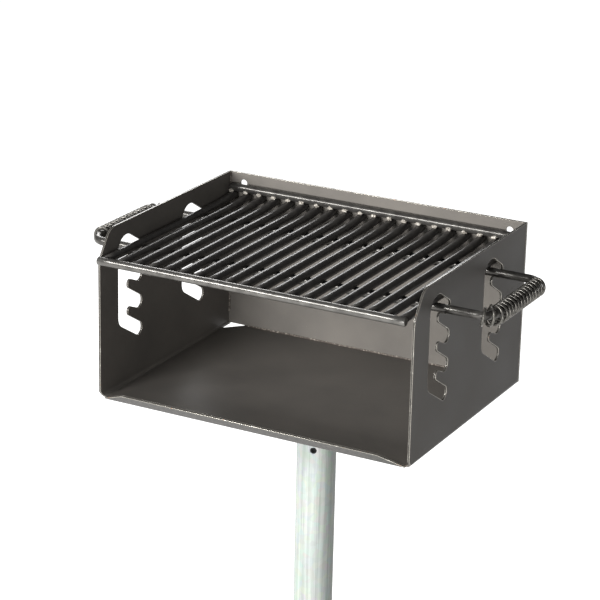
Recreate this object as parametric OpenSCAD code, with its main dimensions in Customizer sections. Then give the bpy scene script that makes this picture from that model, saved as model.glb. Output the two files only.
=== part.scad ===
// Park barbecue grill: a steel firebox that turns on an upright pipe post, with a four-level
// cooking grate carried by its bent handle rods in comb slots. Millimetres, +Z up.
// The origin is on the post's axis at ground level, and -Y is the open front.

/* [Firebox sheet] */
// Outside width of the firebox
box_w = 508; // [440:1:600]
// Outside depth of the firebox, front to back
box_d = 381; // [350:1:460]
// Outside height of the firebox
box_h = 257; // [212:1:320]
// Thickness of the sheet steel
sheet_t = 3.4; // [2.5:0.1:5]
// Outside radius of the sheet's bends
bend_r = 8.5; // [7:0.5:11]
// Angle by which the floor's front edge turns up into a flared lip, in degrees
lip_angle = 48; // [35:1:75]
// Length of the lip's flat part
lip_l = 19.5; // [8:0.5:28]
// Outside radius of the lip's bend
lip_bend_r = 6.4; // [5:0.1:9]
// Distance behind the sides' front edges at which the lip starts to bend
lip_fold = 6.5; // [2:0.5:10]
// Length of the slanted cut at each end of the lip
lip_slant = 37; // [8:1:60]
// Depth of the relief cut in the corner between the lip and each side
relief_d = 9; // [6:0.5:12]
// Height of that relief cut
relief_h = 11.5; // [9:0.5:16]
// Height that the slanted front corner takes off each side's front edge
corner_drop = 42; // [25:1:60]
// Depth that the slanted front corner takes off each side's top edge
corner_back = 29; // [20:1:40]
// Radius that eases both ends of the slanted front corner
corner_r = 26; // [8:1:30]
// Width of the drain notch in each rear corner of the floor, from the side's outer face
drain_w = 33; // [25:1:55]
// Depth of the drain notch in each rear corner of the floor
drain_d = 36; // [25:1:50]
// Distance that the drain notches keep from the sides' outer faces
drain_in = 4.5; // [3.6:0.1:8]
// Gap under the back plate, filled by the weld
back_gap = 0.5; // [0.5:0.1:1.5]

/* [Holes in the back plate] */
// Radius of the two holes in the back plate
hang_r = 5.75; // [3:0.25:8]
// Distance from a hole's centre to the side edge of the back plate
hang_in = 27; // [15:1:60]
// Distance from a hole's centre down from the top edge of the back plate
hang_down = 16.5; // [10:0.5:30]

/* [Comb slots] */
// Distance from the firebox's front edge to the front slot
slot_from_front = 49.5; // [44:0.5:56]
// Distance from the front slot to the rear slot
slot_pitch = 181; // [150:1:190]
// Width of a slot from its front edge to the end of its pockets
slot_w = 65; // [58:0.5:72]
// Clear width of the upright channel in front of the teeth
channel_w = 26; // [22:0.5:28]
// Distance from the firebox's top edge down to the middle of the highest pocket
slot_drop = 49.5; // [45:0.5:58]
// Height from one grate level to the next
level_pitch = 43; // [40:0.5:45]
// Slope of the pockets, falling to the rear, in degrees
pocket_slope = 31; // [27:1:33]
// Slope of each tooth's upper side, in degrees
tooth_slope = 23; // [20:1:25]
// Radius at the end of each pocket
pocket_r = 9.5; // [8:0.25:10.5]
// Flat at the end of each pocket
pocket_flat = 1.5; // [1:0.1:3]
// Largest radius on the tip of a tooth
tooth_tip_r = 6.4; // [3:0.1:7]
// Radius at the slot's lower front corner
slot_foot_r = 18; // [10:1:22]
// Radius at the slot's upper front corner
slot_head_r = 23; // [18:1:24]

/* [Grate] */
// Diameter of the bars, rods and handle rods
rod_d = 12.7; // [10:0.1:13]
// Number of rods that run front to back
rod_count = 20; // [12:1:20]
// Distance from each side's inner face to the middle of the nearest rod
rod_side_in = 12.6; // [11:0.1:20]
// Gap between each side and the end of the front bar, when the grate lies in the middle
front_bar_gap = 4.1; // [3.1:0.1:12]
// Distance from the firebox's front edge forward to the front bar's axis
front_bar_out = 5.5; // [4:0.5:10]
// Bend radius of a rod's raised rear end, on its centre line
rod_bend_r = 600; // [400:10:700]
// Angle by which a rod is bent up where the rear bar lies on it, in degrees
rod_bend_a = 7.4; // [5:0.1:8]
// Angle by which a rod bends on past the rear bar, in degrees
rod_past_a = 0.3; // [0.1:0.1:0.4]
// Gap between the rear bar and the back plate
rear_gap = 2.4; // [1:0.1:20]
// Sideways position of the grate, which lies loosely in the firebox
grate_shift = -3; // [-3:0.1:3]

/* [Handles and grips] */
// Distance from the firebox's side out to the grip part of its handle
handle_out = 72; // [58:1:90]
// Sideways position of the handles on the grate
handle_shift = -3; // [-3:0.1:3]
// Bend radius of the handle rods, on their centre line
handle_bend_r = 22; // [21:1:26]
// Diameter of the spring wire of the grips
wire_d = 4.4; // [3.5:0.1:4.6]
// Mean radius of the spring coils
coil_r = 12; // [11.8:0.1:12.4]
// Number of coils in a grip
coil_turns = 16.5; // [14:0.5:16.5]
// Distance from one coil to the next
coil_pitch = 10.1; // [10:0.05:10.5]
// Distance that a grip hangs below the middle of its handle rod
coil_hang = 1.9; // [1:0.1:2]
// Distance that a grip lies outwards from the middle of its handle rod
coil_out = 1.2; // [0.8:0.1:1.3]
// Angle that the left grip reaches round its handle's front bend, in degrees; below 0 it starts behind it
left_wrap = -10; // [-15:1:60]
// Angle that the right grip reaches round its handle's front bend, in degrees
right_wrap = 70; // [0:1:75]
// Angle at which a grip's wire starts, from its outermost point, in degrees
coil_start = 300; // [0:5:355]

/* [Post and pivot] */
// Outside diameter of the post
post_d = 60.3; // [57:0.1:64]
// Wall thickness of the post
post_wall = 3.9; // [3:0.1:5]
// Height of the post above the ground
post_above = 610; // [300:5:900]
// Length of the post below the ground
post_below = 457; // [300:1:610]
// Distance of the post's axis behind the middle of the firebox
post_back = 21; // [0:1:60]
// Clearance of the pivot inside the post and above its rim
pivot_clear = 0.3; // [0.3:0.05:0.5]
// Wall thickness of the pivot stub
stub_wall = 7; // [6:0.5:9]
// Length of the pivot stub
stub_l = 120; // [110:1:200]
// Width of the square plate between the pivot stub and the floor
doubler_w = 110; // [80:1:160]
// Thickness of that plate
doubler_t = 6.4; // [4:0.1:10]
// Diameter of the set screw
screw_d = 10; // [8:0.5:12]
// Distance from the post's rim down to the set screw
screw_drop = 85; // [60:1:95]
// Turn of the set screw around the post from the front, in degrees
screw_turn = 18; // [-40:1:60]
// Depth of the groove in the pivot stub
groove_deep = 3; // [2:0.1:4]
// Width across the flats of the set screw's socket
socket_w = 5; // [3:0.5:5.5]
// Depth of the set screw's outer end below the post's surface
screw_sunk = 1; // [0.7:0.1:3]

/* [Hidden] */
// Overrun of every cut past the face that it opens
cut = 1;
// Clearance of the grate's rods in their pockets
seat_clear = 0.3;
// Clearance of the set screw in its hole
thread_clear = 0.05;
// Angle covered by one straight step of a rounded corner, in degrees
arc_step = 9;

post_r = post_d / 2;
stub_r = post_r - post_wall - pivot_clear;
rod_r = rod_d / 2;

// Heights and depths of the firebox in the frame of the whole part
box_z = post_above + pivot_clear + doubler_t;
front_y = -post_back - box_d / 2;
rear_y = front_y + box_d;
side_in = box_w / 2 - sheet_t;
inner_bend_r = bend_r - sheet_t;

// The lip's width, and its overlap with the floor behind it
lip_w = box_w - 2 * bend_r;
lip_overlap = sheet_t;
// Reach of the lip's flat into its bend, so that the two fuse
lip_seam = 0.05;

// The front slot's front edge, and the handle rods' places in the slots
top_level = 3;
slot_y = front_y + slot_from_front;
pocket_y = slot_w - pocket_r;
front_leg_y = slot_y + pocket_y;
rear_leg_y = front_leg_y + slot_pitch;
leg_z = box_z + pocket_z(top_level) - pocket_r + rod_r + seat_clear;

// The grate lies on the handle rods
rod_z = leg_z + rod_d;
rod_pitch = 2 * (side_in - rod_side_in) / (rod_count - 1);
front_bar_l = 2 * (side_in - front_bar_gap);
front_bar_y = front_y - front_bar_out;
rear_bar_y = rear_y - sheet_t - rear_gap - rod_r;
rod_front_y = front_bar_y + rod_r;
// The rear bar lies on the rods' bent ends
rod_bend_y = rear_bar_y - (rod_bend_r - rod_d) * sin(rod_bend_a);
rear_bar_z = rod_z + rod_bend_r * (1 - cos(rod_bend_a)) + rod_d * cos(rod_bend_a);
rear_bar_end_share = 0.7;
rear_bar_l = (rod_count - 1) * rod_pitch + rod_d * rear_bar_end_share;

// The grips follow the handle rods, from part of the way round one bend to the other
handle_mid = grate_shift + handle_shift;
handle_reach = box_w / 2 + handle_out;
grip_front_y = front_leg_y + handle_bend_r;
grip_straight_l = slot_pitch - 2 * handle_bend_r;
grip_bend_r = handle_bend_r + coil_out;

// The set screw reaches into the groove of the pivot stub
screw_z = post_above - screw_drop;
groove_r = stub_r - groove_deep;
groove_share = 1.4;
groove_h = screw_d * groove_share;
screw_tip_r = groove_r + 2 * pivot_clear;
screw_head_r = post_r - screw_sunk;
socket_deep_share = 0.8;
socket_deep = socket_w * socket_deep_share;

steel = [0.27, 0.26, 0.25];
dark = [0.13, 0.13, 0.13];
zinc = [0.80, 0.83, 0.82];

function rod_name(i) = str("grate_rod_", i < 10 ? "0" : "", i);

// Height of the circle that ends a pocket, above the firebox's bottom; level 0 is the lowest
function pocket_z(level) = box_h - slot_drop - (top_level - level) * level_pitch;

function unit(v) = v / norm(v);

// Points of a round corner at b, on the way from a to c
function corner(a, b, c, r) =
    let (u = unit(a - b), v = unit(c - b))
    let (half = acos(u * v) / 2)
    let (centre = b + unit(u + v) * r / sin(half))
    let (start = b + u * r / tan(half) - centre, stop = b + v * r / tan(half) - centre)
    let (from = atan2(start.y, start.x), turn = atan2(stop.y, stop.x) - from)
    let (sweep = turn > 180 ? turn - 360 : turn < -180 ? turn + 360 : turn)
    let (steps = max(1, ceil(abs(sweep) / arc_step)))
    [for (i = [0:steps]) centre + r * [cos(from + sweep * i / steps), sin(from + sweep * i / steps)]];

// A closed outline whose corners, each [across, up, radius], are rounded
function rounded(p) =
    let (n = len(p))
    [for (i = [0:n - 1])
        let (a = p[(i + n - 1) % n], b = p[i], c = p[(i + 1) % n])
        each b[2] > 0 ? corner([a.x, a.y], [b.x, b.y], [c.x, c.y], b[2]) : [[b.x, b.y]]];

// Lower side of a pocket, whose slope is that of a tooth's top, or of the slot's foot at level 0
function pocket_low(level, y) =
    let (slope = level == 0 ? pocket_slope : tooth_slope)
    pocket_z(level) - pocket_r / cos(slope) + (pocket_y - y) * tan(slope);

// Upper side of a pocket, which is the lower side of the tooth above it
function pocket_high(level, y) =
    pocket_z(level) + pocket_flat + pocket_r / cos(pocket_slope) + (pocket_y - y) * tan(pocket_slope);

// Corners of one tooth and the pocket above it, in slot coordinates
function tooth(level) =
    let (low = pocket_high(level - 1, channel_w), high = pocket_low(level, channel_w))
    let (fit = tan(45 - pocket_slope / 2) + tan(45 + tooth_slope / 2))
    let (tip_r = min(tooth_tip_r, (high - low) * tooth_tip_share / fit))
    [[channel_w, low, tip_r],
     [channel_w, high, tip_r],
     [slot_w, pocket_low(level, slot_w), pocket_r],
     [slot_w, pocket_high(level, slot_w), pocket_r]];
tooth_tip_share = 0.97;

function slot_outline() = rounded(concat(
    [[0, pocket_low(0, 0), slot_foot_r],
     [slot_w, pocket_low(0, slot_w), pocket_r],
     [slot_w, pocket_high(0, slot_w), pocket_r]],
    [for (level = [1:top_level]) each tooth(level)],
    [[0, pocket_high(top_level, 0), slot_head_r]]));

// Extrudes an outline drawn in Y and Z along X, centred
module across(length) {
    rotate([90, 0, 90])
        linear_extrude(length, center = true)
            children();
}

// The sheet's cross section, open at the top
module channel_outline(half, low, r) {
    translate([-half, low + r])
        square([2 * half, box_h - low - r + cut]);
    translate([-half + r, low])
        square([2 * (half - r), 2 * r]);
    for (side = [-1, 1])
        translate([side * (half - r), low + r])
            circle(r, $fn = 64);
}

module bent_sheet() {
    translate([0, rear_y, box_z])
        rotate([90, 0, 0])
            linear_extrude(box_d)
                difference() {
                    channel_outline(box_w / 2, 0, bend_r);
                    channel_outline(side_in, sheet_t, inner_bend_r);
                }
}

// The lip's bend, with a strip of floor behind it
module lip_bend_outline() {
    reach = 2 * lip_bend_r;
    translate([-cut, -lip_bend_r])
        square([lip_overlap + cut, sheet_t]);
    intersection() {
        difference() {
            circle(lip_bend_r, $fn = 64);
            circle(lip_bend_r - sheet_t, $fn = 64);
        }
        polygon([[0, 0], [0, -reach], [-reach * tan(lip_angle), -reach]]);
    }
}

// The flared lip, whose flat narrows towards its edge
module lip() {
    translate([0, front_y + lip_fold, box_z + lip_bend_r]) {
        across(lip_w)
            lip_bend_outline();
        rotate([-lip_angle, 0, 0])
            translate([0, 0, -lip_bend_r])
                linear_extrude(sheet_t)
                    polygon([[-lip_w / 2, lip_seam], [lip_w / 2, lip_seam],
                             [lip_w / 2 - lip_slant, -lip_l], [-lip_w / 2 + lip_slant, -lip_l]]);
    }
}

// The cuts in the bends between the lip and the sides
module relief_cuts() {
    for (side = [-1, 1])
        translate([side * box_w / 2, front_y, box_z])
            across(2 * bend_r)
                polygon([[-cut, -cut], [relief_d, -cut], [relief_d, 0], [0, relief_h], [-cut, relief_h]]);
}

// Takes the slanted front corners off both sides, and the sheet above them
module front_corners() {
    h = box_h + cut;
    translate([0, front_y, box_z])
        across(box_w + 2 * cut)
            difference() {
                translate([-cut, box_h - 2 * corner_drop])
                    square([2 * corner_back + cut, 2 * corner_drop + cut]);
                polygon(rounded([[2 * corner_back + cut, h, 0], [2 * corner_back + cut, 0, 0], [0, 0, 0],
                                 [0, box_h - corner_drop, corner_r],
                                 [corner_back, box_h, corner_r],
                                 [2 * corner_back, box_h, 0], [2 * corner_back, h, 0]]));
            }
}

module drain_notches() {
    for (side = [-1, 1])
        translate([0, 0, box_z - cut])
            linear_extrude(bend_r + cut)
                polygon([[side * (box_w / 2 - drain_in), rear_y + cut],
                         [side * (box_w / 2 - drain_in), rear_y - drain_d * (1 - drain_in / drain_w)],
                         [side * (box_w / 2 - drain_w), rear_y],
                         [side * (box_w / 2 - drain_w), rear_y + cut]]);
}

module firebox_body() {
    color(steel)
        difference() {
            union() {
                difference() {
                    bent_sheet();
                    // The sheet's height, then the floor's front edge, which turns up into the lip
                    translate([-box_w, front_y - cut, box_z + box_h])
                        cube([2 * box_w, box_d + 2 * cut, box_h]);
                    translate([-lip_w / 2, front_y - cut, box_z - cut])
                        cube([lip_w, lip_fold + lip_overlap / 2 + cut, sheet_t + 2 * cut]);
                    relief_cuts();
                }
                lip();
            }
            front_corners();
            for (y = [slot_y, slot_y + slot_pitch])
                translate([0, y, box_z])
                    across(box_w + 2 * cut)
                        polygon(slot_outline());
            drain_notches();
            // The sides end at the back plate, which stands on the floor
            translate([-box_w, rear_y - sheet_t, box_z + sheet_t])
                cube([2 * box_w, sheet_t + cut, box_h + cut]);
        }
}

module firebox_back() {
    low = sheet_t + back_gap;
    color(steel)
        difference() {
            translate([-box_w / 2, rear_y - sheet_t, box_z + low])
                cube([box_w, sheet_t, box_h - low]);
            for (side = [-1, 1])
                translate([side * (box_w / 2 - hang_in), rear_y + cut, box_z + box_h - hang_down])
                    rotate([90, 0, 0])
                        cylinder(h = sheet_t + 2 * cut, r = hang_r, $fn = 48);
        }
}

module floor_doubler() {
    color(steel)
        translate([-doubler_w / 2, -doubler_w / 2, box_z - doubler_t])
            cube([doubler_w, doubler_w, doubler_t]);
}

// The stub hangs from the doubler into the post; the set screw runs in its groove
module pivot_stub() {
    top = box_z - doubler_t;
    color(steel)
        rotate_extrude($fn = 96)
            difference() {
                translate([stub_r - stub_wall, top - stub_l])
                    square([stub_wall, stub_l]);
                translate([groove_r, screw_z - groove_h / 2])
                    square([groove_deep + cut, groove_h]);
            }
}

// Turns what is drawn along +X to the set screw's place on the post
module at_screw() {
    translate([0, 0, screw_z])
        rotate([0, 0, screw_turn - 90])
            rotate([0, 90, 0])
                children();
}

module post() {
    color(zinc)
        difference() {
            translate([0, 0, -post_below])
                cylinder(h = post_below + post_above, r = post_r, $fn = 96);
            translate([0, 0, -post_below - cut])
                cylinder(h = post_below + post_above + 2 * cut, r = post_r - post_wall, $fn = 96);
            at_screw()
                cylinder(h = post_d, r = screw_d / 2, $fn = 48);
        }
}

module set_screw() {
    color(dark)
        at_screw()
            difference() {
                translate([0, 0, screw_tip_r])
                    cylinder(h = screw_head_r - screw_tip_r, r = screw_d / 2 - thread_clear, $fn = 48);
                translate([0, 0, screw_head_r - socket_deep])
                    cylinder(h = socket_deep + cut, r = socket_w / sqrt(3), $fn = 6);
            }
}

// A bar across the grate, at a depth and a height
module cross_bar(y, z, length) {
    color(dark)
        translate([grate_shift - length / 2, y, z])
            rotate([0, 90, 0])
                cylinder(h = length, r = rod_r, $fn = 48);
}

module grate_front_bar() {
    cross_bar(front_bar_y, rod_z, front_bar_l);
}

module grate_rear_bar() {
    cross_bar(rear_bar_y, rear_bar_z, rear_bar_l);
}

// One rod, straight from the front bar, then bent up under the rear bar
module grate_rod(i) {
    x = grate_shift + (i - (rod_count + 1) / 2) * rod_pitch;
    color(dark)
        translate([x, 0, rod_z]) {
            translate([0, rod_bend_y, 0])
                rotate([90, 0, 0])
                    cylinder(h = rod_bend_y - rod_front_y, r = rod_r, $fn = 32);
            translate([0, rod_bend_y, rod_bend_r])
                rotate([0, 90, 0])
                    rotate_extrude(angle = rod_bend_a + rod_past_a, $fn = 360)
                        translate([rod_bend_r, 0])
                            circle(rod_r, $fn = 32);
        }
}

// Half of a handle: a leg under the grate and the bend to the grip, towards +X from the middle
module handle_leg(turn) {
    straight = handle_reach - handle_bend_r;
    rotate([0, 90, 0])
        cylinder(h = straight, r = rod_r, $fn = 48);
    translate([straight, turn * handle_bend_r, 0])
        rotate([0, 0, turn > 0 ? -90 : 0])
            rotate_extrude(angle = 90, $fn = 64)
                translate([handle_bend_r, 0])
                    circle(rod_r, $fn = 48);
}

module handle_rod(side) {
    color(dark)
        translate([handle_mid, 0, leg_z])
            mirror([side < 0 ? 1 : 0, 0, 0]) {
                translate([0, front_leg_y, 0])
                    handle_leg(1);
                translate([0, rear_leg_y, 0])
                    handle_leg(-1);
                translate([handle_reach, front_leg_y + handle_bend_r, 0])
                    rotate([-90, 0, 0])
                        cylinder(h = slot_pitch - 2 * handle_bend_r, r = rod_r, $fn = 48);
            }
}

module left_handle_rod() {
    handle_rod(-1);
}

module right_handle_rod() {
    handle_rod(1);
}

// A grip is one wire wound round the handle: rings of points along a helix whose middle line
// follows the handle's two bends and the straight between them
coil_rings = 8;
wire_sides = 6;
ring_last = coil_turns * coil_rings;

// Angle of the middle line round a bend, negative in the front one, at a length along it
function bend_angle(along, wrap) =
    let (past = along - wrap * PI / 180 * grip_bend_r)
    (past < 0 ? past : max(0, past - grip_straight_l)) / grip_bend_r * 180 / PI;

// How far the middle line has come along the straight
function straight_run(along, wrap) =
    max(0, min(grip_straight_l, along - wrap * PI / 180 * grip_bend_r));

// Points on the middle of the wire, after some turns of a grip
function coil_middle(turns, wrap) =
    let (along = turns * coil_pitch, a = bend_angle(along, wrap), turn = 360 * turns + coil_start)
    let (out = [cos(a), sin(a), 0])
    [handle_reach - handle_bend_r, grip_front_y + straight_run(along, wrap), -coil_hang]
        + grip_bend_r * out + coil_r * (cos(turn) * out + [0, 0, sin(turn)]);

function wire_ring(turns, wrap) =
    let (small = 1 / coil_rings / wire_sides)
    let (along = unit(coil_middle(turns + small, wrap) - coil_middle(turns - small, wrap)))
    let (a = bend_angle(turns * coil_pitch, wrap), turn = 360 * turns + coil_start)
    let (up = unit(cross(along, [cos(turn) * cos(a), cos(turn) * sin(a), sin(turn)])))
    let (out = cross(up, along))
    [for (k = [0:wire_sides - 1])
        coil_middle(turns, wrap)
            + wire_d / 2 * (out * cos(k * 360 / wire_sides) + up * sin(k * 360 / wire_sides))];

function wire_points(wrap) = [for (i = [0:ring_last]) each wire_ring(i / coil_rings, wrap)];

wire_faces = concat(
    [[for (k = [wire_sides - 1:-1:0]) k]],
    [for (i = [0:ring_last - 1], k = [0:wire_sides - 1])
        let (a = i * wire_sides + k, b = i * wire_sides + (k + 1) % wire_sides)
        each [[a, b, b + wire_sides], [a, b + wire_sides, a + wire_sides]]],
    [[for (k = [0:wire_sides - 1]) ring_last * wire_sides + k]]);

// Least distance from a point on the wire to the next coil's points
function coil_gap(points) = min([
    for (i = [0:ring_last - coil_rings - 1], j = [-1:1], k = [0:wire_sides - 1], m = [0:wire_sides - 1])
        norm(points[i * wire_sides + k] - points[(i + coil_rings + j) * wire_sides + m])]);

echo(left_grip_least_gap = coil_gap(wire_points(left_wrap)));
echo(right_grip_least_gap = coil_gap(wire_points(right_wrap)));

module grip(side, wrap) {
    color(dark)
        translate([handle_mid, 0, leg_z])
            mirror([side < 0 ? 1 : 0, 0, 0])
                polyhedron(wire_points(wrap), wire_faces);
}

module left_grip() {
    grip(-1, left_wrap);
}

module right_grip() {
    grip(1, right_wrap);
}

post();
set_screw();
pivot_stub();
floor_doubler();
firebox_body();
firebox_back();
grate_front_bar();
grate_rear_bar();
for (i = [1:rod_count])
    grate_rod(i);
left_handle_rod();
right_handle_rod();
left_grip();
right_grip();
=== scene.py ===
"""Park barbecue grill on a post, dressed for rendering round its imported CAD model.

Metres, +Z up, origin on the post's axis at ground level, -Y towards the open front.
"""

import logging
import math
from dataclasses import dataclass, field
from enum import Enum

import bmesh
import bpy
from mathutils import Matrix, Quaternion, Vector

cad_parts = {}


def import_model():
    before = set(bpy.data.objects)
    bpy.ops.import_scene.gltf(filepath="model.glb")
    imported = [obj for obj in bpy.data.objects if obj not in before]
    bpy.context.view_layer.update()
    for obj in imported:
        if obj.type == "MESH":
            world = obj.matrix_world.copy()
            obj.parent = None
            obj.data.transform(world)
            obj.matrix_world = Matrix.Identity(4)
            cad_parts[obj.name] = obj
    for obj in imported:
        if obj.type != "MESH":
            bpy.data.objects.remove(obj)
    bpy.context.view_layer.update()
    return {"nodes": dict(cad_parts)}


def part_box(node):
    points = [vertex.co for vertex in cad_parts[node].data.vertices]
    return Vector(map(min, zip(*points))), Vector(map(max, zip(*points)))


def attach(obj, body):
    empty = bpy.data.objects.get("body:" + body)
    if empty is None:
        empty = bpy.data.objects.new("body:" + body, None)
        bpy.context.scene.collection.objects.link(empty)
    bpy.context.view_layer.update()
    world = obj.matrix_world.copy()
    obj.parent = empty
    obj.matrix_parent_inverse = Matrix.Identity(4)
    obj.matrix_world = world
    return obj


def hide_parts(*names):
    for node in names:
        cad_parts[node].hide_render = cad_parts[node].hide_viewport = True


log = logging.getLogger("grill")

Colour = tuple[float, float, float, float]
Values = dict[str | int, object]
Links = dict[str | int, bpy.types.NodeSocket]

MM = 0.001
WHITE: Colour = (1.0, 1.0, 1.0, 1.0)
BLACK: Colour = (0.0, 0.0, 0.0, 1.0)
FLAT_WIDTH = 5 * MM  # A face wider than this is flat, and a narrower one is part of a curve
MERGE_GAP = 0.002 * MM  # Corners of a CAD mesh's triangles that lie nearer than this are one
JOIN_DEG = 1.0  # Faces of a CAD mesh that meet at less than this are one
ROUND_DEG = 50.0  # Edges of a CAD mesh that are sharper than this are rounded
CUT_SLACK = 0.05 * MM  # How far an edge across the sheet may differ from its thickness
CUT_SHARE = 0.52  # A cut face is smaller than this share of its perimeter times the thickness
# Edges sharper than these stay sharp, in degrees
PLATE_SHARP_DEG = 30.0
BAR_SHARP_DEG = 50.0
WELD_SHARP_DEG = 60.0
# Waves of the lumps on welds: factors of X and Y in the sine, and of Z in the cosine
LUMP_WAVES = ((1.0, 1.7, 2.3), (2.9, 1.3, 0.7), (0.6, 2.2, 3.1))
LUMP_X_IN_COSINE = 0.9
LUMP_PHASES = (2.1, 1.3)  # Shift from wave to wave, of the sine and of the cosine


class Side(Enum):
    """The two sides of the grill, by the sign of X."""

    LEFT = -1
    RIGHT = 1


class Body(str, Enum):
    """The bodies that pieces ride on."""

    POST = "post"
    FIREBOX = "firebox"
    GRATE = "grate"


class Finish(str, Enum):
    """The record's material slots."""

    ENAMEL = "black_enamel"
    ROD = "black_rod"
    SPRING = "spring_wire"
    PIPE = "galvanised_pipe"
    SCREW = "black_screw"


class Coat(int, Enum):
    """The material indices of a dressed plate."""

    FILM = 0
    # Rounded edges: rubbed steel, whose pale tone is partly a painted highlight
    RIM = 1
    CUT = 2


def linear(code: str) -> Colour:
    """Turns an sRGB hex colour to linear light.

    Args:
        code: Six hex digits, such as "3b3a3a".

    Returns:
        Red, green, blue and an alpha of one.
    """
    values = []
    for place in (0, 2, 4):
        share = int(code[place : place + 2], 16) / 255
        values.append(share / 12.92 if share <= 0.04045 else ((share + 0.055) / 1.055) ** 2.4)
    return (values[0], values[1], values[2], 1.0)


def set_inputs(
    tree: bpy.types.NodeTree, node: bpy.types.Node, values: Values | None, links: Links | None
) -> None:
    """Sets and links inputs of a node.

    Args:
        tree: The node's tree.
        node: The node.
        values: Values of its input sockets, by name or number.
        links: Output sockets to link to its inputs, by name or number.
    """
    for socket, value in (values or {}).items():
        node.inputs[socket].default_value = value
    for socket, source in (links or {}).items():
        tree.links.new(source, node.inputs[socket])


def add_node(
    tree: bpy.types.NodeTree,
    kind: str,
    settings: dict[str, object] | None = None,
    values: Values | None = None,
    links: Links | None = None,
    stops: list[tuple[float, Colour]] | None = None,
) -> bpy.types.Node:
    """Adds one node to a tree.

    Args:
        tree: The tree that takes the node.
        kind: The node's type name, such as "ShaderNodeTexNoise".
        settings: Attributes to set on the node itself.
        values: Values of its input sockets, by name or number.
        links: Output sockets to link to its inputs, by name or number.
        stops: A ramp's places from 0 to 1 with their colours, in rising order.

    Returns:
        The new node.
    """
    node = tree.nodes.new(kind)
    for name, value in (settings or {}).items():
        setattr(node, name, value)
    set_inputs(tree, node, values, links)
    if stops:
        elements = node.color_ramp.elements
        elements[0].position, elements[0].color = stops[0]
        elements[1].position, elements[1].color = stops[-1]
        for place, colour in stops[1:-1]:
            elements.new(place).color = colour
    return node


def start_material(name: str) -> tuple[bpy.types.Material, bpy.types.NodeTree]:
    """Starts a material.

    Args:
        name: Its name.

    Returns:
        The material and its tree, which holds the shader.
    """
    material = bpy.data.materials.new(name)
    material.use_nodes = True
    return material, material.node_tree


def shade(
    material: bpy.types.Material, values: Values | None = None, links: Links | None = None
) -> bpy.types.Material:
    """Sets and links inputs of a material's shader.

    Args:
        material: The material.
        values: Values of the shader's input sockets, by name.
        links: Output sockets to link to its inputs, by name.

    Returns:
        The material.
    """
    tree = material.node_tree
    set_inputs(tree, tree.nodes["Principled BSDF"], values, links)
    return material


@dataclass(frozen=True)
class Enamel:
    """Heat-resistant black enamel, sprayed on steel: an even, dark film with a soft shine,
    a faint warm cloudiness and fine orange peel."""

    name: str = "sprayed_black_enamel"
    dark: str = "5b5854"
    light: str = "67635e"
    ior: float = 1.28
    roughness: float = 0.45
    roughness_spread: float = 0.05
    cloud_mm: float = 90.0
    peel_mm: float = 1.6
    peel_depth_mm: float = 0.012
    speck: str = "857f77"
    speck_mm: float = 7.0
    speck_reach: float = 0.072

    def make(self) -> bpy.types.Material:
        """Makes the material.

        Returns:
            The new material.
        """
        material, tree = start_material(self.name)
        place = add_node(tree, "ShaderNodeTexCoord").outputs["Object"]
        cloud = add_node(
            tree,
            "ShaderNodeTexNoise",
            values={"Scale": 1 / (self.cloud_mm * MM), "Detail": 5.0, "Roughness": 0.6},
            links={"Vector": place},
        ).outputs["Fac"]
        film = add_node(
            tree,
            "ShaderNodeValToRGB",
            links={"Fac": cloud},
            stops=[(0.3, linear(self.dark)), (0.72, linear(self.light))],
        ).outputs["Color"]
        speck = add_node(
            tree,
            "ShaderNodeTexVoronoi",
            values={"Scale": 1 / (self.speck_mm * MM)},
            links={"Vector": place},
        ).outputs["Distance"]
        # Pale grains of dust caught in the film
        grain = add_node(
            tree,
            "ShaderNodeValToRGB",
            links={"Fac": speck},
            stops=[(0.0, WHITE), (self.speck_reach, BLACK)],
        ).outputs["Color"]
        colour = add_node(
            tree,
            "ShaderNodeMix",
            settings={"data_type": "RGBA"},
            values={7: linear(self.speck)},
            links={0: grain, 6: film},
        ).outputs[2]
        rough = add_node(
            tree,
            "ShaderNodeMapRange",
            values={
                "From Min": 0.3,
                "From Max": 0.7,
                "To Min": self.roughness - self.roughness_spread,
                "To Max": self.roughness + self.roughness_spread,
            },
            links={"Value": cloud},
        ).outputs["Result"]
        peel = add_node(
            tree,
            "ShaderNodeTexNoise",
            values={"Scale": 1 / (self.peel_mm * MM), "Detail": 2.0},
            links={"Vector": place},
        ).outputs["Fac"]
        bump = add_node(
            tree,
            "ShaderNodeBump",
            values={"Strength": 0.6, "Distance": self.peel_depth_mm * MM},
            links={"Height": peel},
        ).outputs["Normal"]
        return shade(
            material,
            {"IOR": self.ior},
            {"Base Color": colour, "Roughness": rough, "Normal": bump},
        )


@dataclass(frozen=True)
class BareEdgeAndHighlight:
    """Sheet edges where the enamel is thin and rubbed, so that the steel's pale grey and a
    little rust show through. The pale tone is partly a painted highlight along every rounded edge."""

    name: str = "rubbed_edge_and_painted_highlight"
    dark: str = "a39f96"
    light: str = "e6e2d8"
    rust: str = "a8714c"
    metallic: float = 0.75
    roughness: float = 0.25
    patch_mm: float = 14.0

    def make(self) -> bpy.types.Material:
        """Makes the material.

        Returns:
            The new material.
        """
        material, tree = start_material(self.name)
        place = add_node(tree, "ShaderNodeTexCoord").outputs["Object"]
        patch = add_node(
            tree,
            "ShaderNodeTexNoise",
            values={"Scale": 1 / (self.patch_mm * MM), "Detail": 6.0, "Roughness": 0.65},
            links={"Vector": place},
        ).outputs["Fac"]
        colour = add_node(
            tree,
            "ShaderNodeValToRGB",
            links={"Fac": patch},
            stops=[
                (0.30, linear(self.rust)),
                (0.38, linear(self.dark)),
                (0.55, linear(self.dark)),
                (0.68, linear(self.light)),
            ],
        ).outputs["Color"]
        return shade(
            material,
            {"Metallic": self.metallic, "Roughness": self.roughness},
            {"Base Color": colour},
        )


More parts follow.
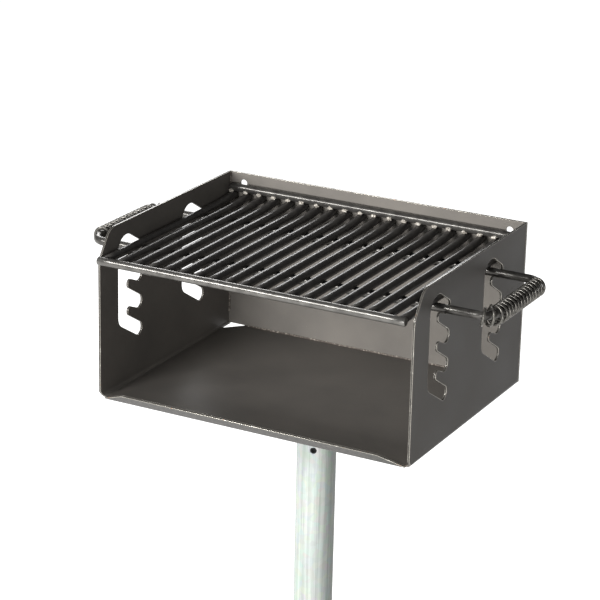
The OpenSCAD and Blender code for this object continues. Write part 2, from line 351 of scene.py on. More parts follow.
@dataclass(frozen=True)
class BarEnamel:
    """Black enamel dipped on hot-rolled round bar: thicker and glossier than on the sheet,
    with slow waves where it ran. Where it is thin, the steel's sheen comes through."""

    name: str = "dipped_black_enamel"
    dark: str = "383635"
    light: str = "484643"
    ior: float = 1.35
    roughness: float = 0.3
    run_mm: float = 14.0
    run_depth_mm: float = 0.006
    metallic: float = 0.0

    def make(self) -> bpy.types.Material:
        """Makes the material.

        Returns:
            The new material.
        """
        material, tree = start_material(self.name)
        place = add_node(tree, "ShaderNodeTexCoord").outputs["Object"]
        run = add_node(
            tree,
            "ShaderNodeTexNoise",
            values={"Scale": 1 / (self.run_mm * MM), "Detail": 1.0, "Roughness": 0.55},
            links={"Vector": place},
        ).outputs["Fac"]
        colour = add_node(
            tree,
            "ShaderNodeValToRGB",
            links={"Fac": run},
            stops=[(0.3, linear(self.dark)), (0.75, linear(self.light))],
        ).outputs["Color"]
        bump = add_node(
            tree,
            "ShaderNodeBump",
            values={"Strength": 0.5, "Distance": self.run_depth_mm * MM},
            links={"Height": run},
        ).outputs["Normal"]
        return shade(
            material,
            {"Metallic": self.metallic, "Roughness": self.roughness, "IOR": self.ior},
            {"Base Color": colour, "Normal": bump},
        )


@dataclass(frozen=True)
class Galvanised:
    """Hot-dip galvanised pipe: pale zinc with a green-grey cast, long drawn streaks down its
    length and a faint spangle."""

    name: str = "galvanised_zinc"
    pale: str = "b4bab5"
    mid: str = "a5aba6"
    streak: str = "8b938e"
    metallic: float = 0.3
    roughness: float = 0.42
    streak_mm: float = 5.0
    streak_stretch: float = 0.02
    streak_depth_mm: float = 0.1
    spangle_mm: float = 9.0
    spangle_share: float = 0.10

    def make(self) -> bpy.types.Material:
        """Makes the material.

        Returns:
            The new material.
        """
        material, tree = start_material(self.name)
        place = add_node(tree, "ShaderNodeTexCoord").outputs["Object"]
        along = add_node(
            tree,
            "ShaderNodeMapping",
            values={"Scale": (1.0, 1.0, self.streak_stretch)},
            links={"Vector": place},
        ).outputs["Vector"]
        streak = add_node(
            tree,
            "ShaderNodeTexNoise",
            values={"Scale": 1 / (self.streak_mm * MM), "Detail": 6.0, "Roughness": 0.7},
            links={"Vector": along},
        ).outputs["Fac"]
        zinc = add_node(
            tree,
            "ShaderNodeValToRGB",
            links={"Fac": streak},
            stops=[
                (0.30, linear(self.streak)),
                (0.47, linear(self.mid)),
                (0.62, linear(self.pale)),
            ],
        ).outputs["Color"]
        spangle = add_node(
            tree,
            "ShaderNodeTexVoronoi",
            values={"Scale": 1 / (self.spangle_mm * MM)},
            links={"Vector": place},
        ).outputs["Color"]
        colour = add_node(
            tree,
            "ShaderNodeMix",
            settings={"data_type": "RGBA", "blend_type": "SOFT_LIGHT"},
            values={0: self.spangle_share},
            links={6: zinc, 7: spangle},
        ).outputs[2]
        bump = add_node(
            tree,
            "ShaderNodeBump",
            values={"Strength": 0.35, "Distance": self.streak_depth_mm * MM},
            links={"Height": streak},
        ).outputs["Normal"]
        return shade(
            material,
            {"Metallic": self.metallic, "Roughness": self.roughness},
            {"Base Color": colour, "Normal": bump},
        )


@dataclass(frozen=True)
class WeldMetal:
    """Weld metal under the enamel, with scale and spatter that took the film badly: a rough,
    mottled brown-grey."""

    name: str = "painted_weld"
    dark: str = "2e2a26"
    mid: str = "57504a"
    pale: str = "b8b0a4"
    roughness: float = 0.42
    scale_mm: float = 3.2
    scale_depth_mm: float = 0.3

    def make(self) -> bpy.types.Material:
        """Makes the material.

        Returns:
            The new material.
        """
        material, tree = start_material(self.name)
        place = add_node(tree, "ShaderNodeTexCoord").outputs["Object"]
        scale = add_node(
            tree,
            "ShaderNodeTexNoise",
            values={"Scale": 1 / (self.scale_mm * MM), "Detail": 5.0, "Roughness": 0.7},
            links={"Vector": place},
        ).outputs["Fac"]
        colour = add_node(
            tree,
            "ShaderNodeValToRGB",
            links={"Fac": scale},
            stops=[
                (0.32, linear(self.dark)),
                (0.52, linear(self.mid)),
                (0.70, linear(self.pale)),
            ],
        ).outputs["Color"]
        bump = add_node(
            tree,
            "ShaderNodeBump",
            values={"Strength": 0.8, "Distance": self.scale_depth_mm * MM},
            links={"Height": scale},
        ).outputs["Normal"]
        return shade(
            material, {"Roughness": self.roughness}, {"Base Color": colour, "Normal": bump}
        )


# The sheet's sheared edges: the film drew back from them and shines
SHEARED_EDGE = BarEnamel(
    name="sheared_edge_enamel",
    dark="3b3937",
    light="55524e",
    roughness=0.22,
    run_mm=5.0,
    metallic=0.5,
)
# Beads of weld that the film didn't cover: bright grey, whose pale tone is partly a painted
# highlight
BARE_WELD_AND_HIGHLIGHT = WeldMetal(
    name="bare_weld_and_painted_highlight", dark="2c2a27", mid="989289", pale="ece9e0", roughness=0.3, scale_mm=2.0
)
# The front bar, rubbed by hands until a grey sheen runs along it
FRONT_BAR = BarEnamel(
    name="thin_enamel_bar", dark="62605d", light="807e7a", roughness=0.28, metallic=0.8
)
# The handles and the rear bar: a thin, worn film
WORN_HANDLE = BarEnamel(
    name="worn_handle_enamel", dark="4e4c4a", light="6e6c68", roughness=0.28, metallic=0.75
)
# Blackened spring wire, drawn and oiled
SPRING_WIRE = BarEnamel(
    name="blackened_spring_wire",
    dark="55534f",
    light="8a8781",
    roughness=0.3,
    run_mm=4.0,
    run_depth_mm=0.04,
    metallic=0.85,
)
# The black oxide of a socket screw
BLACK_OXIDE = BarEnamel(
    name="black_oxide_screw",
    dark="0b0b0b",
    light="161616",
    roughness=0.4,
    run_mm=2.0,
    run_depth_mm=0.03,
)


@dataclass
class Finishes:
    """The materials that the pieces share."""

    enamel: bpy.types.Material = field(default_factory=Enamel().make)
    # Rubbed steel on the rounded edges, partly a painted highlight
    edge: bpy.types.Material = field(default_factory=BareEdgeAndHighlight().make)
    bar: bpy.types.Material = field(default_factory=BarEnamel().make)
    zinc: bpy.types.Material = field(default_factory=Galvanised().make)
    weld: bpy.types.Material = field(default_factory=WeldMetal().make)
    cut: bpy.types.Material = field(default_factory=SHEARED_EDGE.make)
    # Bare weld on the rear beads, partly a painted highlight
    bead: bpy.types.Material = field(default_factory=BARE_WELD_AND_HIGHLIGHT.make)
    frame: bpy.types.Material = field(default_factory=FRONT_BAR.make)
    handle: bpy.types.Material = field(default_factory=WORN_HANDLE.make)
    spring: bpy.types.Material = field(default_factory=SPRING_WIRE.make)
    oxide: bpy.types.Material = field(default_factory=BLACK_OXIDE.make)


def add_piece(
    name: str,
    mesh: bmesh.types.BMesh,
    body: Body,
    materials: list[bpy.types.Material],
    sharp_deg: float,
) -> bpy.types.Object:
    """Makes an object of a mesh and hangs it on a body.

    Args:
        name: The object's name.
        mesh: The mesh, in metres in the shared frame. It is freed.
        body: The body that carries the piece.
        materials: The materials, in the order of the mesh's material indices.
        sharp_deg: Edges sharper than this stay sharp, in degrees.

    Returns:
        The new object.
    """
    for face in mesh.faces:
        face.smooth = 2 * face.calc_area() < FLAT_WIDTH * face.calc_perimeter()
    for edge in mesh.edges:
        blunt = edge.calc_face_angle(0.0) < math.radians(sharp_deg)
        edge.smooth = len(edge.link_faces) == 2 and blunt
    data = bpy.data.meshes.new(name)
    mesh.to_mesh(data)
    mesh.free()
    piece = bpy.data.objects.new(name, data)
    bpy.context.scene.collection.objects.link(piece)
    for material in materials:
        data.materials.append(material)
    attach(piece, body.value)
    log.info("%s: %d faces on %s", name, len(data.polygons), body.value)
    return piece


def merged_copy(
    node: bpy.types.Object, rim: float, steps: int, sheet: float = 0.0
) -> bmesh.types.BMesh:
    """Copies a CAD node's mesh, merges it and rounds its sharp edges.

    Args:
        node: The CAD node's object, which is left alone.
        rim: Width of the rounding, in metres.
        steps: Number of steps across the rounding.
        sheet: The sheet's thickness, in metres, if its cut faces are to be told apart.

    Returns:
        The new mesh. Its rounded edges have Coat.RIM, and a sheet's cut faces have Coat.CUT.
    """
    mesh = bmesh.new()
    mesh.from_mesh(node.data)
    bmesh.ops.remove_doubles(mesh, verts=mesh.verts, dist=MERGE_GAP)
    bmesh.ops.dissolve_limit(
        mesh,
        angle_limit=math.radians(JOIN_DEG),
        use_dissolve_boundaries=False,
        verts=mesh.verts,
        edges=mesh.edges,
    )
    # Edges shorter than the rim would fold it over
    bmesh.ops.dissolve_degenerate(mesh, dist=rim / 2, edges=mesh.edges)
    for face in mesh.faces:
        across = [edge for edge in face.edges if abs(edge.calc_length() - sheet) < CUT_SLACK]
        if across and face.calc_area() < CUT_SHARE * sheet * face.calc_perimeter():
            face.material_index = Coat.CUT
    sharp = math.radians(ROUND_DEG)
    made = bmesh.ops.bevel(
        mesh,
        geom=[edge for edge in mesh.edges if edge.calc_face_angle(0.0) > sharp],
        offset=rim,
        offset_type="OFFSET",
        segments=steps,
        profile=0.5,
        affect="EDGES",
        clamp_overlap=False,
        material=-1,
    )
    for face in made["faces"]:
        face.material_index = Coat.RIM
    return mesh


@dataclass
class RoundBar:
    """A round bar drawn as a pen goes: it starts with a disc and is pushed and bent onwards."""

    radius: float
    start: Vector
    heading: Vector
    sides: int = 32
    chamfer: float = 0.5 * MM
    bend_steps: int = 14
    mesh: bmesh.types.BMesh = field(init=False)
    ring: list[bmesh.types.BMEdge] = field(init=False)
    at: Vector = field(init=False)
    along: Vector = field(init=False)

    def __post_init__(self) -> None:
        """Draws the first disc."""
        self.mesh = bmesh.new()
        self.at = Vector(self.start)
        self.along = Vector(self.heading).normalized()
        turn = Vector((0, 0, 1)).rotation_difference(self.along).to_matrix().to_4x4()
        made = bmesh.ops.create_circle(
            self.mesh,
            cap_ends=True,
            radius=self.radius - self.chamfer,
            segments=self.sides,
            matrix=Matrix.Translation(self.at) @ turn,
        )
        self.ring = list({edge for vert in made["verts"] for edge in vert.link_edges})
        self._grow(self.chamfer, self.radius / (self.radius - self.chamfer))

    def _grow(self, length: float, scale: float = 1.0) -> None:
        """Pushes the open end onwards.

        Args:
            length: How far, in metres.
            scale: Size of the new end as a share of the old.
        """
        made = bmesh.ops.extrude_edge_only(self.mesh, edges=self.ring)["geom"]
        verts = [item for item in made if isinstance(item, bmesh.types.BMVert)]
        self.ring = [item for item in made if isinstance(item, bmesh.types.BMEdge)]
        bmesh.ops.translate(self.mesh, vec=self.along * length, verts=verts)
        self.at = self.at + self.along * length
        if scale != 1.0:
            middle = Matrix.Translation(-self.at)
            bmesh.ops.scale(self.mesh, vec=(scale,) * 3, space=middle, verts=verts)

    def push(self, length: float, steps: int) -> None:
        """Goes straight on.

        Args:
            length: How far, in metres.
            steps: Number of rings.
        """
        for _ in range(steps):
            self._grow(length / steps)

    def bend(self, angle_deg: float, radius: float, inward: Vector) -> None:
        """Bends round an arc.

        Args:
            angle_deg: How far it turns.
            radius: The arc's radius on the bar's centre line, in metres.
            inward: Direction from the bar to the arc's centre.
        """
        centre = self.at + Vector(inward).normalized() * radius
        axis = self.along.cross(Vector(inward)).normalized()
        turn = Quaternion(axis, math.radians(angle_deg))
        made = bmesh.ops.spin(
            self.mesh,
            geom=self.ring,
            cent=centre,
            axis=axis,
            angle=math.radians(angle_deg),
            steps=self.bend_steps,
            use_merge=False,
            use_duplicate=False,
        )["geom_last"]
        self.ring = [item for item in made if isinstance(item, bmesh.types.BMEdge)]
        self.at = centre + turn @ (self.at - centre)
        self.along = (turn @ self.along).normalized()

    def close(self) -> bmesh.types.BMesh:
        """Ends the bar with a chamfered disc.

        Returns:
            The finished mesh.
        """
        self._grow(self.chamfer, (self.radius - self.chamfer) / self.radius)
        bmesh.ops.edgeloop_fill(self.mesh, edges=self.ring)
        bmesh.ops.recalc_face_normals(self.mesh, faces=self.mesh.faces)
        return self.mesh


def noise(place: Vector, cell: float) -> float:
    """Smooth value noise that is the same in each run.

    Args:
        place: The point, in metres.
        cell: Size of the noise's features, in metres.

    Returns:
        A value from -1 to 1.
    """
    p = place / cell
    total = 0.0
    for k, (a, b, c) in enumerate(LUMP_WAVES):
        sine = math.sin(a * p.x + b * p.y + LUMP_PHASES[0] * k)
        total += sine * math.cos(c * p.z + LUMP_X_IN_COSINE * p.x + LUMP_PHASES[1] * k)
    return total / len(LUMP_WAVES)


@dataclass
class WeldRun:
    """A run of weld: overlapping flat beads laid one after another along a corner."""

    start: Vector
    stop: Vector
    radius: float
    bead: float = 4.5 * MM
    rough: float = 0.35
    ripple_share: float = 0.5
    lump_share: float = 0.55
    body_share: float = 0.85
    end_share: float = 0.3
    sides: int = 10
    rings_a_bead: int = 5
    least_rings: int = 6

    def mesh(self) -> bmesh.types.BMesh:
        """Draws the run as a lumpy bar.

        Returns:
            The mesh.
        """
        length = (self.stop - self.start).length
        along = (self.stop - self.start).normalized()
        rings = max(self.least_rings, int(length / (self.bead / self.rings_a_bead)))
        end = self.radius * self.end_share
        bar = RoundBar(self.radius, self.start, along, sides=self.sides, chamfer=end)
        bar.push(length - 2 * bar.chamfer, steps=rings)
        mesh = bar.close()
        for vert in mesh.verts:
            run = (vert.co - self.start).dot(along)
            middle = self.start + along * run
            out = vert.co - middle
            wave = abs(math.sin(math.pi * run / self.bead))
            ripple = 1 + self.rough * self.ripple_share * wave
            lump = 1 + self.rough * noise(vert.co, self.bead * self.lump_share)
            vert.co = middle + out * ripple * lump * self.body_share
        return mesh


def blob(centre: Vector, size: Vector, lump: float, rough: float) -> bmesh.types.BMesh:
    """Draws one bead of weld.

    Args:
        centre: Its middle, in metres.
        size: Its half sizes along X, Y and Z, in metres.
        lump: Size of its bumps, in metres.
        rough: Depth of its bumps as a share of its size.

    Returns:
        The mesh.
    """
    mesh = bmesh.new()
    bmesh.ops.create_icosphere(mesh, subdivisions=3, radius=1.0)
    bmesh.ops.scale(mesh, vec=size, verts=mesh.verts)
    bmesh.ops.translate(mesh, vec=centre, verts=mesh.verts)
    for vert in mesh.verts:
        vert.co = centre + (vert.co - centre) * (1 + rough * noise(vert.co, lump))
    return mesh


def joined(parts: list[bmesh.types.BMesh]) -> bmesh.types.BMesh:
    """Puts several meshes into one.

    Args:
        parts: The meshes, which are freed.

    Returns:
        One mesh with all of them.
    """
    whole = bmesh.new()
    for part in parts:
        data = bpy.data.meshes.new("part")
        part.to_mesh(data)
        part.free()
        whole.from_mesh(data)
        bpy.data.meshes.remove(data)
    return whole


@dataclass
class Pedestal:
    """The galvanised pipe post, with the set screw that keeps the firebox from lifting out."""

    finishes: Finishes
    nodes: dict[str, bpy.types.Object]
    rim: float = 0.5 * MM
    screw_rim: float = 0.3 * MM
    rim_steps: int = 2

    def build(self) -> None:
        """Dresses the post and the screw."""
        zinc, oxide = self.finishes.zinc, self.finishes.oxide
        mesh = merged_copy(self.nodes["post"], self.rim, self.rim_steps)
        pipe = add_piece(
            "pipe_post", mesh, Body.POST, [zinc, zinc], PLATE_SHARP_DEG
        )
        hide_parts("post")
        mesh = merged_copy(self.nodes["set_screw"], self.screw_rim, self.rim_steps)
        screw = add_piece(
            "socket_screw", mesh, Body.POST, [oxide, oxide], PLATE_SHARP_DEG
        )
        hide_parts("set_screw")


@dataclass
class Firebox:
    """The bent sheet with its comb slots, the back plate, the pivot under them and their welds."""

    finishes: Finishes
    nodes: dict[str, bpy.types.Object]
    sheet: float = 3.4 * MM
    rim: float = 0.7 * MM
    rim_steps: int = 4
    pivot_rim: float = 0.5 * MM
    pivot_rim_steps: int = 2
    # Least shares of the lip's outside that face the front and down, where shade is painted
    lip_faces_front: float = 0.5
    lip_faces_down: float = 0.4
    drain_w: float = 33 * MM
    weld_in: float = 6 * MM
    floor_weld_r: float = 1.7 * MM
    floor_weld_back: float = 0.6 * MM
    floor_weld_up: float = 0.7 * MM
    corner_weld_r: float = 1.8 * MM
    corner_weld_in: float = 0.2 * MM
    corner_spans_mm: tuple[tuple[float, float], ...] = (
        (20, 62),
        (100, 140),
        (185, 222),
        (234, 252),
    )

    def build(self) -> None:
        """Dresses the plates and lays the welds."""
        coats = [self.finishes.enamel, self.finishes.edge, self.finishes.cut]
        for node, name in (("firebox_body", "bent_sheet"), ("firebox_back", "back_plate")):
            mesh = merged_copy(self.nodes[node], self.rim, self.rim_steps, self.sheet)
            self.shade_lip_outside(mesh)
            piece = add_piece(name, mesh, Body.FIREBOX, coats, PLATE_SHARP_DEG)
            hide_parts(node)
        coats = [self.finishes.enamel, self.finishes.enamel]
        for node, name in (("floor_doubler", "pivot_plate"), ("pivot_stub", "pivot_pipe")):
            mesh = merged_copy(self.nodes[node], self.pivot_rim, self.pivot_rim_steps)
            piece = add_piece(name, mesh, Body.FIREBOX, coats, PLATE_SHARP_DEG)
            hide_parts(node)
        self.lay_welds()

    def shade_lip_outside(self, mesh: bmesh.types.BMesh) -> None:
        """Paints shade on the lip's outside, which faces the front and down, by giving it the
        darker look of the cut edges.

        Args:
            mesh: The plate's mesh.
        """
        for face in mesh.faces:
            front = face.normal.y < -self.lip_faces_front
            if face.material_index == Coat.FILM and front and face.normal.z < -self.lip_faces_down:
                # Painted shade: the darker cut-edge material on the lip's outside
                face.material_index = Coat.CUT

    def lay_welds(self) -> None:
        """Lays the runs of weld between the floor, the sides and the back plate."""
        low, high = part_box("firebox_back")
        y = low.y + self.floor_weld_back
        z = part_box("firebox_body")[0].z + self.sheet + self.floor_weld_up
        weld_in = self.drain_w + self.weld_in
        start, stop = Vector((low.x + weld_in, y, z)), Vector((high.x - weld_in, y, z))
        mesh = WeldRun(start, stop, self.floor_weld_r).mesh()
        coats = [self.finishes.weld]
        add_piece("floor_weld", mesh, Body.FIREBOX, coats, WELD_SHARP_DEG)
        runs = []
        y = low.y - self.corner_weld_in
        for side in Side:
            x = side.value * (high.x - self.sheet - self.corner_weld_in)
            for span in self.corner_spans_mm:
                start, stop = (Vector((x, y, low.z + height * MM)) for height in span)
                runs.append(WeldRun(start, stop, self.corner_weld_r).mesh())
        mesh = joined(runs)
        add_piece("corner_welds", mesh, Body.FIREBOX, coats, WELD_SHARP_DEG)


@dataclass
class Grate:
    """The round-bar cooking grate, welded up of a front bar, a rear bar and the rods between."""

    finishes: Finishes
    rods: int = 20
    bend_r: float = 600 * MM
    bend_deg: float = 7.4
    past_deg: float = 0.3
    rod_steps: int = 16
    bar_sides: int = 40
    bar_steps: int = 24
    bar_chamfer: float = 1.0 * MM
    # How far a bead strays sideways, and how the straying changes from rod to rod, in radians
    stray: float = 0.9 * MM
    stray_turn: float = 2.4
    # Beads on the front bar, from the rod's front end
    seat_back: float = 0.6 * MM
    seat_up: float = 2.2 * MM
    seat_size_mm: tuple[float, float, float] = (5.6, 2.6, 3.6)
    seat_lump: float = 2.6 * MM
    seat_rough: float = 0.18
    # Beads in front of the rear bar, from its middle
    tack_front: float = 5.6 * MM
    tack_down: float = 4.6 * MM
    tack_size_mm: tuple[float, float, float] = (4.4, 3.0, 2.8)
    tack_lump: float = 1.8 * MM
    tack_rough: float = 0.4

    def build(self) -> None:
        """Draws the bars, the rods and the beads of weld between them."""
        self.draw_bar("grate_front_bar", self.finishes.frame)
        self.draw_bar("grate_rear_bar", self.finishes.handle)
        rear_low, rear_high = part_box("grate_rear_bar")
        rear = (rear_low + rear_high) / 2
        seats = []
        tacks = []
        for number in range(1, self.rods + 1):
            end = self.draw_rod(number, rear.y)
            stray = math.sin(number * self.stray_turn) * self.stray
            seat = Vector((end.x + stray, end.y + self.seat_back, end.z + self.seat_up))
            tack = Vector((end.x - stray, rear.y - self.tack_front, rear.z - self.tack_down))
            size = Vector(self.seat_size_mm) * MM
            seats.append(blob(seat, size, self.seat_lump, self.seat_rough))
            size = Vector(self.tack_size_mm) * MM
            tacks.append(blob(tack, size, self.tack_lump, self.tack_rough))
        for name, beads, coat in (
            ("front_welds", seats, self.finishes.bar),
            # The rear beads' pale colour is partly a painted highlight
            ("rear_welds", tacks, self.finishes.bead),
        ):
            add_piece(name, joined(beads), Body.GRATE, [coat], WELD_SHARP_DEG)

    def draw_bar(self, node: str, coat: bpy.types.Material) -> None:
        """Draws the front bar or the rear bar.

        Args:
            node: The CAD node that it stands for.
            coat: Its material.
        """
        low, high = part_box(node)
        middle = (low + high) / 2
        start = Vector((low.x, middle.y, middle.z))
        bar = RoundBar(
            (high.z - low.z) / 2, start, Vector((1, 0, 0)), self.bar_sides, self.bar_chamfer
        )
        bar.push(high.x - low.x - 2 * bar.chamfer, self.bar_steps)
        name = node.replace("grate_", "")
        piece = add_piece(name, bar.close(), Body.GRATE, [coat], BAR_SHARP_DEG)
        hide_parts(node)

    def draw_rod(self, number: int, rear_y: float) -> Vector:
        """Draws one rod, which rises gently to the rear bar.

        Args:
            number: The rod's number, from 1 at the left.
            rear_y: Y of the rear bar's middle, in metres.

        Returns:
            The middle of its front end.
        """
        node = f"grate_rod_{number:02d}"
        low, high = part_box(node)
        radius = (high.x - low.x) / 2
        end = Vector(((low.x + high.x) / 2, low.y, low.z + radius))
        bend_y = rear_y - (self.bend_r - 2 * radius) * math.sin(math.radians(self.bend_deg))
        bar = RoundBar(radius, end, Vector((0, 1, 0)))
        bar.push(bend_y - low.y - bar.chamfer, self.rod_steps)
        lost = math.degrees(bar.chamfer / self.bend_r)
        bar.bend(self.bend_deg + self.past_deg - lost, self.bend_r, Vector((0, 0, 1)))
        name, coats = f"rod_{number:02d}", [self.finishes.bar]
        piece = add_piece(name, bar.close(), Body.GRATE, coats, BAR_SHARP_DEG)
        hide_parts(node)
        return end


@dataclass
class Handles:
    """The bent rods that carry the grate through the comb slots, and their loose coil grips."""

    finishes: Finishes
    middle_x: float = -6 * MM
    reach: float = 326 * MM
    bend_r: float = 22 * MM
    chamfer: float = 0.4 * MM
    leg_steps: int = 20
    grip_steps: int = 10
    wire_r: float = 2.2 * MM
    wire_rounding: int = 3
    coil_r: float = 12 * MM
    turns: float = 16.5
    pitch: float = 10.1 * MM
    hang: float = 1.9 * MM
    out: float = 1.2 * MM
    start_deg: float = 300.0
    left_wrap_deg: float = -10.0
    right_wrap_deg: float = 70.0
    points_a_turn: int = 28

    def build(self) -> None:
        """Draws both handles."""
        for side, wrap in ((Side.LEFT, self.left_wrap_deg), (Side.RIGHT, self.right_wrap_deg)):
            self.rod(side)
            self.grip(side, wrap)

    def rod(self, side: Side) -> None:
        """Draws one bent handle rod.

        Args:
            side: The side that it is on.
        """
        name = side.name.lower() + "_handle_rod"
        low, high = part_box(name)
        radius = (high.z - low.z) / 2
        start = Vector((self.middle_x, low.y + radius, low.z + radius))
        out = Vector((side.value, 0, 0))
        bar = RoundBar(radius, start, out, chamfer=self.chamfer)
        leg = self.reach - self.bend_r - bar.chamfer
        bar.push(leg, self.leg_steps)
        bar.bend(90, self.bend_r, Vector((0, 1, 0)))
        bar.push(high.y - low.y - 2 * radius - 2 * self.bend_r, self.grip_steps)
        bar.bend(90, self.bend_r, -out)
        bar.push(leg, self.leg_steps)
        title, coats = side.name.lower() + "_handle", [self.finishes.handle]
        piece = add_piece(title, bar.close(), Body.GRATE, coats, BAR_SHARP_DEG)
        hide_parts(name)

    def coil_point(
        self, turns: float, wrap: float, front: float, straight: float, z: float
    ) -> Vector:
        """Finds a point on the middle of the wire.

        Args:
            turns: How many turns along the coil.
            wrap: Angle by which it starts round the front bend, in degrees, below 0 behind it.
            front: Y of the end of the front bend, in metres.
            straight: Length of the handle between its bends, in metres.
            z: Height of the handle, in metres.

        Returns:
            The point, for a handle on the right.
        """
        bend = self.bend_r + self.out
        past = turns * self.pitch - math.radians(wrap) * bend
        angle = (past if past < 0 else max(0.0, past - straight)) / bend
        run = max(0.0, min(straight, past))
        out = Vector((math.cos(angle), math.sin(angle), 0))
        turn = 2 * math.pi * turns + math.radians(self.start_deg)
        around = out * math.cos(turn) + Vector((0, 0, math.sin(turn)))
        base = Vector((self.reach - self.bend_r, front + run, z - self.hang))
        return base + out * bend + around * self.coil_r

    def wire(self, side: Side, wrap: float) -> list[Vector]:
        """Finds the points on the middle of a grip's wire.

        Args:
            side: The side that it is on.
            wrap: Angle by which it starts round the front bend, in degrees, below 0 behind it.

        Returns:
            The points, from one end to the other.
        """
        low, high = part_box(side.name.lower() + "_handle_rod")
        radius = (high.z - low.z) / 2
        front = low.y + radius + self.bend_r
        straight = high.y - low.y - 2 * radius - 2 * self.bend_r
        points = []
        for i in range(int(self.turns * self.points_a_turn) + 1):
            turns = i / self.points_a_turn
            p = self.coil_point(turns, wrap, front, straight, low.z + radius)
            points.append(Vector((self.middle_x + side.value * p.x, p.y, p.z)))
        return points

    def grip(self, side: Side, wrap: float) -> None:
        """Winds one coil grip.

        Args:
            side: The side that it is on.
            wrap: Angle by which it starts round the front bend, in degrees, below 0 behind it.
        """
        points = self.wire(side, wrap)
        curve = bpy.data.curves.new("coil", "CURVE")
        curve.dimensions = "3D"
        curve.bevel_depth = self.wire_r
        curve.bevel_resolution = self.wire_rounding
        curve.use_fill_caps = True
        spline = curve.splines.new("POLY")
        spline.points.add(len(points) - 1)
        for place, p in zip(spline.points, points):
            place.co = (p.x, p.y, p.z, 1)
        holder = bpy.data.objects.new("coil", curve)
        bpy.context.scene.collection.objects.link(holder)
        drawn = bpy.data.meshes.new_from_object(holder)
        bpy.data.objects.remove(holder)
        mesh = bmesh.new()
        mesh.from_mesh(drawn)
        bpy.data.meshes.remove(drawn)
        bmesh.ops.recalc_face_normals(mesh, faces=mesh.faces)
        title, coats = side.name.lower() + "_coil", [self.finishes.spring]
        piece = add_piece(title, mesh, Body.GRATE, coats, BAR_SHARP_DEG)
        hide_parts(side.name.lower() + "_grip")


@dataclass(frozen=True)
class Lamp:
    """A soft rectangular lamp, by the way from the grill to it, in metres and watts."""

    name: str
    way: tuple[float, float, float]
    distance: float
    size: tuple[float, float]
    power: float
    mirrored: bool = True

    def hang(self, aim: Vector) -> None:
        """Hangs the lamp.

        Args:
            aim: The point that it faces, in metres.
        """
        data = bpy.data.lights.new(self.name, "AREA")
        data.shape = "RECTANGLE"
        data.size, data.size_y = self.size
        data.energy = self.power
        lamp = bpy.data.objects.new(self.name, data)
        bpy.context.scene.collection.objects.link(lamp)
        way = Vector(self.way)
        lamp.location = aim + way.normalized() * self.distance
        lamp.rotation_mode = "QUATERNION"
        lamp.rotation_quaternion = way.to_track_quat("Z", "Y")
        lamp.visible_camera = False
        lamp.visible_glossy = self.mirrored


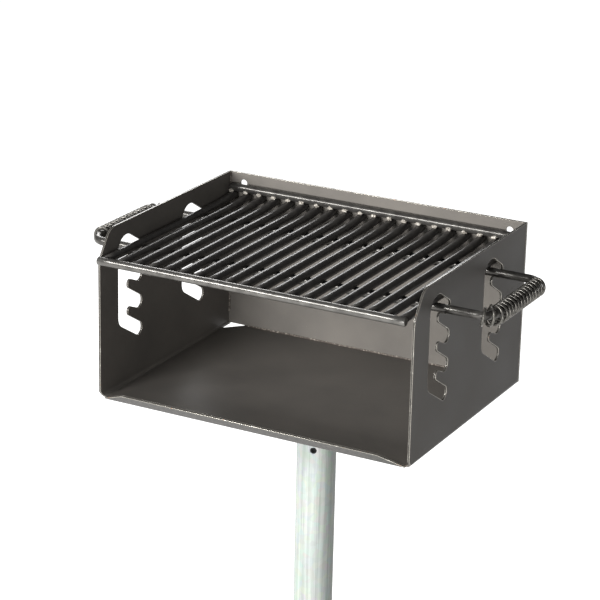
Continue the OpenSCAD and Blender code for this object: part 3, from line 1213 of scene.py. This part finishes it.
@dataclass
class Studio:
    """A pale floor, soft lamps and the camera at the photograph's angle."""

    camera_at: tuple[float, float, float] = (1.50913, -2.91007, 1.91228)
    camera_turn: tuple[float, float, float, float] = (0.7899636, 0.5619395, 0.1330086, 0.2061317)
    lens_mm: float = 140.7
    sensor_mm: float = 36.0
    sight: float = 100.0
    floor_half: float = 30.0
    paper: str = "dcdcda"
    bounce: str = "7c7c7a"
    paper_glow: float = 0.91
    paper_roughness: float = 0.9
    world_light: float = 0.12
    lamp_aim: tuple[float, float, float] = (0.0, 0.0, 0.76)
    # The front lamp stands for light spread so wide that no bar mirrors it as one stripe
    lamps: tuple[Lamp, ...] = (
        Lamp("window", (-0.435, -0.783, 0.446), 3.0, (1.7, 0.42), 62.0),
        Lamp("front", (-0.20, -0.97, 0.095), 5.0, (2.2, 0.6), 450.0, mirrored=False),
        Lamp("back", (-0.55, 0.76, 0.39), 3.0, (1.6, 0.7), 27.0),
        Lamp("side", (0.45, -0.88, 0.12), 3.0, (1.0, 1.0), 24.0),
    )

    def build(self) -> None:
        """Sets up the floor, the world, the lamps and the camera."""
        self.floor()
        self.world()
        for lamp in self.lamps:
            lamp.hang(Vector(self.lamp_aim))
        self.camera()

    def floor(self) -> None:
        """Lays the floor that the post stands in, as white as paper to whoever looks at it."""
        mesh = bmesh.new()
        bmesh.ops.create_grid(mesh, x_segments=1, y_segments=1, size=self.floor_half)
        data = bpy.data.meshes.new("floor")
        mesh.to_mesh(data)
        mesh.free()
        floor = bpy.data.objects.new("floor", data)
        bpy.context.scene.collection.objects.link(floor)
        data.materials.append(self.floor_paper())

    def floor_paper(self) -> bpy.types.Material:
        """Makes the floor's material: paper to the eye, and a duller grey in the light that
        it throws back up.

        Returns:
            The new material.
        """
        material, tree = start_material("floor_paper")
        rays = add_node(tree, "ShaderNodeLightPath").outputs
        seen = rays["Is Camera Ray"]
        for kind in ("Is Glossy Ray", "Is Transmission Ray"):
            seen = add_node(
                tree,
                "ShaderNodeMath",
                settings={"operation": "MAXIMUM"},
                links={0: seen, 1: rays[kind]},
            ).outputs["Value"]
        glow = add_node(
            tree,
            "ShaderNodeMath",
            settings={"operation": "MULTIPLY"},
            values={1: self.paper_glow},
            links={0: seen},
        ).outputs["Value"]
        colour = add_node(
            tree,
            "ShaderNodeMix",
            settings={"data_type": "RGBA"},
            values={6: linear(self.bounce), 7: linear(self.paper)},
            links={0: rays["Is Camera Ray"]},
        ).outputs[2]
        return shade(
            material,
            {"Roughness": self.paper_roughness, "Emission Color": WHITE},
            {"Emission Strength": glow, "Base Color": colour},
        )

    def world(self) -> None:
        """Fills the studio with even white light."""
        world = bpy.data.worlds.new("studio")
        bpy.context.scene.world = world
        world.use_nodes = True
        background = world.node_tree.nodes["Background"]
        background.inputs["Color"].default_value = WHITE
        background.inputs["Strength"].default_value = self.world_light

    def camera(self) -> None:
        """Places the camera where the photograph was taken from."""
        data = bpy.data.cameras.new("camera")
        data.lens = self.lens_mm
        data.sensor_width = self.sensor_mm
        data.clip_end = self.sight
        camera = bpy.data.objects.new("camera", data)
        bpy.context.scene.collection.objects.link(camera)
        camera.location = self.camera_at
        camera.rotation_mode = "QUATERNION"
        camera.rotation_quaternion = Quaternion(self.camera_turn)
        bpy.context.scene.camera = camera


def main() -> None:
    """Dresses the grill and sets up the studio."""
    logging.basicConfig(level=logging.INFO, format="%(name)s: %(message)s")
    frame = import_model()
    bpy.context.scene.view_settings.view_transform = "Standard"
    finishes = Finishes()
    nodes = frame["nodes"]
    Studio().build()
    for part in (
        Pedestal(finishes, nodes),
        Firebox(finishes, nodes),
        Grate(finishes),
        Handles(finishes),
    ):
        part.build()
        log.info("%s is done", type(part).__name__)


if __name__ == "__main__":
    main()
